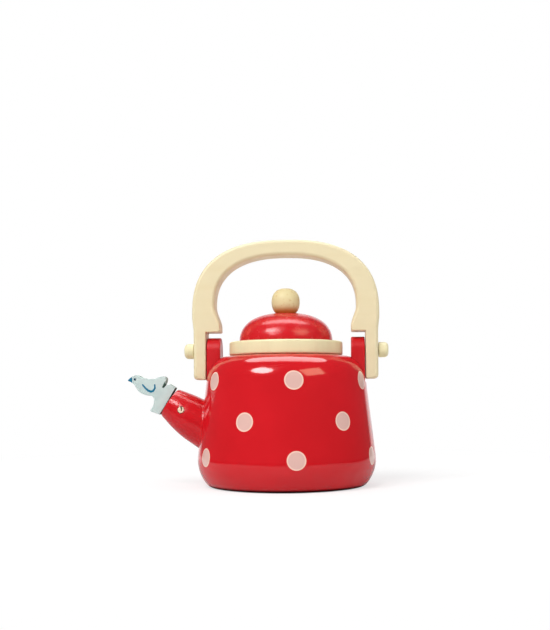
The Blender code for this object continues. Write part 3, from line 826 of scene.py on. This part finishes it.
def birdKnots():
    # outline's knots, counter-clockwise as seen from the front, and which of them are smooth
    shape = birdShape
    high = spoutShape["tipRadius"]
    low = -high
    tongue = mortiseHalves()[0] - shape["rockGap"]
    tongueEnd = shape["rockGap"] - spoutShape["mortiseDepth"]
    base = shape["baseGap"]
    droop = shape["droopGap"] / (high - low)
    shoulder = [(base + droop * (high - low), high), (base + droop * (tongue - low), tongue)]
    tongueSides = [(tongueEnd, tongue), (tongueEnd, -tongue), (base + droop * (-tongue - low), -tongue)]
    drawn = np.array([*birdFoot, *birdBelly, *birdBeak, *birdBack, *birdTail, *birdNotch]) / 1000
    knots = np.vstack([[(base, low)], drawn, shoulder, tongueSides])
    runs = ((1 + len(birdFoot), False), (len(birdBelly), True), (len(birdBeak), False),
            (len(birdBack) + len(birdTail), True), (len(birdNotch) + len(shoulder) + len(tongueSides), False))
    return knots, np.concatenate([np.full(count, smooth) for count, smooth in runs])


def birdOutline():
    # Bezier through the knots: a smooth knot's handles lie along the mean direction of its two sides and are
    # a set share of each side long, a corner's point straight at its neighbours
    knots, curved = birdKnots()
    ahead = np.roll(knots, -1, 0) - knots
    length = np.linalg.norm(ahead, axis=1, keepdims=True)
    along = ahead / length
    lean = along + np.roll(along, 1, 0)
    lean /= np.linalg.norm(lean, axis=1, keepdims=True)
    handle = birdShape["handleShare"]
    leave = np.where(curved[:, None], lean * length * handle, ahead / 3)
    arrive = np.where(np.roll(curved, -1)[:, None], np.roll(lean, -1, 0) * length * handle, ahead / 3)
    share = np.linspace(0, 1, birdShape["curveSteps"], endpoint=False)[:, None, None]
    first, last = knots, np.roll(knots, -1, 0)
    points = ((1 - share) ** 3 * first + 3 * share * (1 - share) ** 2 * (first + leave)
              + 3 * share ** 2 * (1 - share) * (last - arrive) + share ** 3 * last)
    straight = ~curved & ~np.roll(curved, -1)
    keep = (~straight)[:, None] | (np.arange(birdShape["curveSteps"]) == 0)
    return roundedCorners(points.transpose(1, 0, 2)[keep])


def roundedCorners(outline):
    # sharp outward corners are swapped for arcs; points within an arc's reach are dropped
    radius = birdShape["corner"]
    ahead = np.roll(outline, -1, 0) - outline
    ahead /= np.linalg.norm(ahead, axis=1, keepdims=True)
    before = np.roll(ahead, 1, 0)
    turn = before[:, 0] * ahead[:, 1] - before[:, 1] * ahead[:, 0]
    sharp = np.flatnonzero((before * ahead).sum(1) < birdShape["cornerCosine"])
    outward = set(sharp[turn[sharp] > 0].tolist())
    keep = np.full(len(outline), True)
    for corner in outward:
        near = np.linalg.norm(outline - outline[corner], axis=1) < birdShape["cornerReach"] * radius
        keep &= ~near
        keep[corner] = True
    kept = np.flatnonzero(keep)
    pieces = []
    for place, index in enumerate(kept):
        if index in outward:
            previous, following = outline[kept[place - 1]], outline[kept[(place + 1) % len(kept)]]
            pieces.append(softCorner(previous, outline[index], following, radius, birdShape["cornerSteps"]))
        else:
            pieces.append(outline[index:index + 1])
    return np.vstack(pieces)


def strokeDepth(tree, across, rise, first, last):
    # how far (across, rise) lies within a stroke between two points: its half width there, less the distance
    # to the clamped foot on the line
    first, last = np.array(first) / 1000, np.array(last) / 1000
    reach = (last - first)[:2]
    size = float(reach @ reach)
    dx, dy = across - float(first[0]), rise - float(first[1])
    share = tree.node("Clamp", {"Value": dx * float(reach[0] / size) + dy * float(reach[1] / size)})
    ex, ey = dx - share * float(reach[0]), dy - share * float(reach[1])
    return share * float(last[2] - first[2]) + float(first[2]) - tree.math("SQRT", ex * ex + ey * ey, 0.0)


def strokes(tree, across, rise, points, soft):
    # mask of the strokes along a line of points
    depth = strokeDepth(tree, across, rise, points[0], points[1])
    for first, last in zip(points[1:-1], points[2:]):
        depth = tree.math("MAXIMUM", depth, strokeDepth(tree, across, rise, first, last))
    return depth.within(-soft, soft)


def birdFinish():
    # satin pale paint with a painted beak, eye and wing line on both faces; darker, greyer sides, painted
    # shade in the notch and on the end that meets the spout
    paint = birdPaint
    material, tree = newMaterial("palePaintWithBird")
    place = tree.node("VectorMath", {0: objectPlace(tree), 1: spoutTip.tolist()}, operation="SUBTRACT")
    out, up = (tree.node("VectorMath", {0: place, 1: way.tolist()}, "Value", operation="DOT_PRODUCT")
               for way in (spoutOut, spoutUp))
    cloud = noise(tree, paint["cloudScale"], detail=3.0)
    colour = cloud.within(*paint["cloudSpan"]).mixed(paint["colour"], paint["cloudy"])
    low, high = np.array(paint["beakLine"]) / 1000
    along = (high - low) / np.linalg.norm(high - low)
    beyond = (out - float(low[0])) * float(along[1]) - (up - float(low[1])) * float(along[0])
    beak = beyond.within(-paint["beakSoft"], paint["beakSoft"])
    wing = strokes(tree, out, up, paint["wing"], paint["soft"])
    colour = tree.math("MAXIMUM", beak, wing).mixed(colour, paint["teal"])
    colour = strokes(tree, out, up, paint["eyeSpot"], paint["soft"]).mixed(colour, paint["eye"])
    deep = tree.math("ABSOLUTE", place.axis("Y"), 0.0)
    half = float(nodeBox("whistle_bird")[1][1])
    sideToneStart, sideToneEnd = paint["sideToneDepth"]
    # the side faces are darker and greyer than the front and back faces
    side = 1 - deep.within(half - sideToneStart, half - sideToneEnd)
    colour = (side * (1 - beak)).mixed(colour, paint["sideTone"])
    # painted shade in the notch
    colour = strokes(tree, out, up, paint["notch"], paint["notchSoft"]).mixed(colour, paint["notchShade"])
    # painted shade on the end against the spout, dark in the gap
    droop = birdShape["droopGap"] / (2 * spoutShape["tipRadius"])
    past = out - up * droop - (birdShape["baseGap"] + birdShape["droopGap"] / 2)
    colour = past.within(*paint["gapShadeSpan"]).mixed(paint["gapShade"], colour)
    grain = noise(tree, paint["grainScale"])
    surface(tree, paint, colour, cloud, relief(tree, paint["grainHeight"], grain))
    return material


def makeBird():
    half = nodeBox("whistle_bird")[1][1]
    points = board(birdOutline(), birdShape["edge"], half)
    # board() has (out, depth, up): up goes to the local x and out to the local z
    points = placed(points[..., [2, 1, 0]], spoutTip, spoutOut, spoutUp)
    bird = newPiece("whistleBird", points, endFaces=True)
    carve(bird, pinBore("birdPinHole", half, birdShape["pinGap"]))
    settle(bird, birdFinish(), "whistle", "pale_blue_paint", "whistle_bird", flatFaces=True)


pinShape = dict(edge=0.0006, edgeSteps=6, steps=48)
pinPaint = dict(pale=srgb(243, 226, 198), grain=srgb(224, 198, 160), dark=srgb(80, 52, 34),
                split=((0.15, 2.3, 0.55), (0.50, 0.35, 0.42), (0.50, -0.7, 0.25)), soft=0.0001,
                fleckScale=900.0, fleckSpan=(0.45, 0.7), roughness=0.5, spread=0.2, specular=0.25)


def pinFinish(middle):
    # pale end grain with a dark split down from its rim
    paint = pinPaint
    material, tree = newMaterial("splitPin")
    place = objectPlace(tree)
    across, rise = place.axis("X") - float(middle[0]), place.axis("Z") - float(middle[2])
    fleck = noise(tree, paint["fleckScale"], detail=3.0)
    colour = fleck.within(*paint["fleckSpan"]).mixed(paint["pale"], paint["grain"])
    colour = strokes(tree, across, rise, paint["split"], paint["soft"]).mixed(colour, paint["dark"])
    surface(tree, paint, colour, fleck, {})
    return material


def makePin():
    low, high = nodeBox("whistle_pin")
    radius, half, edge = (high[0] - low[0]) / 2, high[1], pinShape["edge"]
    middle = (low + high) / 2
    end = arc((radius - edge, half - edge), (edge, edge), 90, 0, pinShape["edgeSteps"])
    profile = np.vstack([(0, half), end, end[::-1] * (1, -1), (0, -half)])
    points = placed(turned(profile, pinShape["steps"]), middle, np.array([0, 1.0, 0]), np.array([1.0, 0, 0]))
    settle(newPiece("whistlePin", points), pinFinish(middle), "kettle", "bare_wood", "whistle_pin")


makeBird()
makePin()
print("bird and pin made")

for name in (*lugDowels, "spout_dowel", "lid_stem"):
    for materialSlot in frame["nodes"][name].material_slots:
        materialSlot.material = wood
print("hidden dowels finished")


# Floor, light and camera

studio = dict(floorSize=4.0, floorLit=0.75, floorGloss=0.65, floorBehind=1.05, floorBack=(0.1, 0.4),
              sheetFront=(0.16, 0.27), sheetSide=(0.22, 0.42), fade=(0.13, 0.42), fadeLeast=0.62,
              paintedContactShadow=(0.0512, 0.0600), contactShadowSquash=1.12, even=0.68, front=0.12, wall=1.15,
              wallLean=0.75, wallSoft=0.2, spread=1.3)
# degrees round from the front to the right, and up; a mirrored lamp shows only in gloss, the others light
lamps = dict(
    keyShine=dict(azimuth=-36.8, elevation=38.7, size=(1.52, 1.12), radiance=18.0, shape="ELLIPSE",
                  mirrored=True),
    fillShine=dict(azimuth=44.8, elevation=32.5, size=(1.56, 1.23), radiance=4.4, shape="RECTANGLE",
                   mirrored=True, roll=9, colour=(1.0, 0.98, 0.66)),
    topShine=dict(azimuth=180, elevation=78, size=(3.70, 2.05), radiance=6.5, shape="ELLIPSE",
                  mirrored=True, level=True),
    keySoft=dict(azimuth=-30, elevation=50, size=(1.50, 1.50), radiance=7.3, shape="RECTANGLE"),
    fillSoft=dict(azimuth=55, elevation=30, size=(1.50, 1.50), radiance=0.7, shape="RECTANGLE"),
)
lampAim = Vector((0, 0, 0.08))
lampDistance = 3.0
camera = dict(distance=0.655, height=0.062, yaw=3.0, roll=-0.45, focal=955.4, principal=(286.4, 394.8),
              image=(550, 630), sensor=36.0)


def floorFinish():
    # white to the camera, with the object's shadow near it, a painted contact shadow ring round the foot and
    # plain white further out; greyer as a reflector
    material, tree = newMaterial("paleFloor")
    isCamera, isGlossy = rayKinds(tree)
    place = objectPlace(tree)
    # painted contact shadow: a dark ring on the floor round the foot, seen by the camera only
    ring = tree.node("VectorMath", {0: place, 1: (studio["contactShadowSquash"], 1, 1)}, operation="MULTIPLY")
    away, around = (tree.node("VectorMath", {0: way}, "Value", operation="LENGTH") for way in (place, ring))
    paintedContactShadow = around.within(*studio["paintedContactShadow"])
    x, y = place.axis("X"), place.axis("Y")
    aside = tree.math("ABSOLUTE", x, 0.0) - tree.math("MAXIMUM", y, 0.0) * (1 / studio["spread"])
    sheet = (1 - (0.0 - y).within(*studio["sheetFront"])) * (1 - aside.within(*studio["sheetSide"]))
    further = studio["floorBehind"] - studio["floorGloss"]
    mirrored = sheet * (studio["floorGloss"] + y.within(*studio["floorBack"]) * further)
    level = studio["floorLit"] + isCamera * (paintedContactShadow - studio["floorLit"])
    level = level + isGlossy * (mirrored - studio["floorLit"])
    grey = tree.node("CombineXYZ", {0: level, 1: level, 2: level})
    shade = tree.node("BsdfDiffuse", {"Color": grey})
    white = tree.node("Emission", {"Color": (1, 1, 1, 1)})
    far = away.within(*studio["fade"])
    factor = isCamera * paintedContactShadow * (studio["fadeLeast"] + (1 - studio["fadeLeast"]) * far)
    mixed = tree.node("MixShader", {0: factor, 1: shade, 2: white})
    tree.node("OutputMaterial", {"Surface": mixed})
    return material


def makeFloor():
    half = studio["floorSize"]
    corners = np.array([[-half, -half, 0], [half, -half, 0], [half, half, 0], [-half, half, 0]])
    mesh = bpy.data.meshes.new("floor")
    mesh.from_pydata(corners.tolist(), [], [[0, 1, 2, 3]])
    mesh.materials.append(floorFinish())
    floor = bpy.data.objects.new("floor", mesh)
    scene.collection.objects.link(floor)


def makeWorld():
    # white to the camera, an even light on the surfaces; in gloss it is dim, with a bright wall behind
    world = bpy.data.worlds.new("studio")
    scene.world = world
    world.use_nodes = True
    world.node_tree.nodes.clear()
    tree = Wire(world.node_tree)
    direction = tree.node("TexCoord", output="Generated")
    x, y, z = (direction.axis(name) for name in "XYZ")
    behind = y - studio["spread"] * tree.math("ABSOLUTE", x, 0.0) - studio["wallLean"] * z
    mirrored = behind.within(0.0, studio["wallSoft"]) * (studio["wall"] - studio["front"]) + studio["front"]
    isCamera, isGlossy = rayKinds(tree)
    strength = studio["even"] + isGlossy * (mirrored - studio["even"]) + isCamera * (1 - studio["even"])
    shade = tree.node("Background", {"Color": (1, 1, 1, 1), "Strength": strength})
    tree.node("OutputWorld", {"Surface": shade})


def makeLamps():
    # radiance L over an area A takes a power of pi A L
    for name, lamp in lamps.items():
        light = bpy.data.lights.new(name, "AREA")
        light.shape = lamp["shape"]
        light.size, light.size_y = lamp["size"]
        area = lamp["size"][0] * lamp["size"][1] * (math.pi / 4 if lamp["shape"] == "ELLIPSE" else 1)
        light.energy = math.pi * area * lamp["radiance"]
        light.color = lamp.get("colour", (1, 1, 1))
        box = bpy.data.objects.new(name, light)
        scene.collection.objects.link(box)
        azimuth, elevation = math.radians(lamp["azimuth"]), math.radians(lamp["elevation"])
        towards = Vector((math.sin(azimuth) * math.cos(elevation), -math.cos(azimuth) * math.cos(elevation),
                          math.sin(elevation)))
        box.location = lampAim + towards * lampDistance
        if not lamp.get("level"):
            turn = Matrix.Rotation(math.radians(lamp.get("roll", 0)), 3, "Z")
            box.rotation_euler = (towards.to_track_quat("Z", "Y").to_matrix() @ turn).to_euler()
        mirrored = lamp.get("mirrored", False)
        box.visible_camera = False
        box.visible_diffuse = not mirrored
        box.visible_glossy = mirrored


def makeCamera():
    # level camera; the lens is shifted to the photograph's principal point
    wide, high = camera["image"]
    data = bpy.data.cameras.new("camera")
    data.sensor_width = camera["sensor"]
    data.lens = camera["focal"] / high * camera["sensor"]
    data.shift_x = (wide / 2 - camera["principal"][0]) / high
    data.shift_y = (camera["principal"][1] - high / 2) / high
    eye = bpy.data.objects.new("camera", data)
    scene.collection.objects.link(eye)
    yaw = math.radians(camera["yaw"])
    turn = Matrix.Rotation(yaw, 4, "Z") @ Matrix.Rotation(math.pi / 2, 4, "X")
    turn = turn @ Matrix.Rotation(math.radians(camera["roll"]), 4, "Z")
    eye.rotation_euler = turn.to_euler()
    distance = camera["distance"]
    eye.location = (distance * math.sin(yaw), -distance * math.cos(yaw), camera["height"])
    scene.camera = eye


makeFloor()
makeWorld()
makeLamps()
makeCamera()
print("floor, light and camera made")
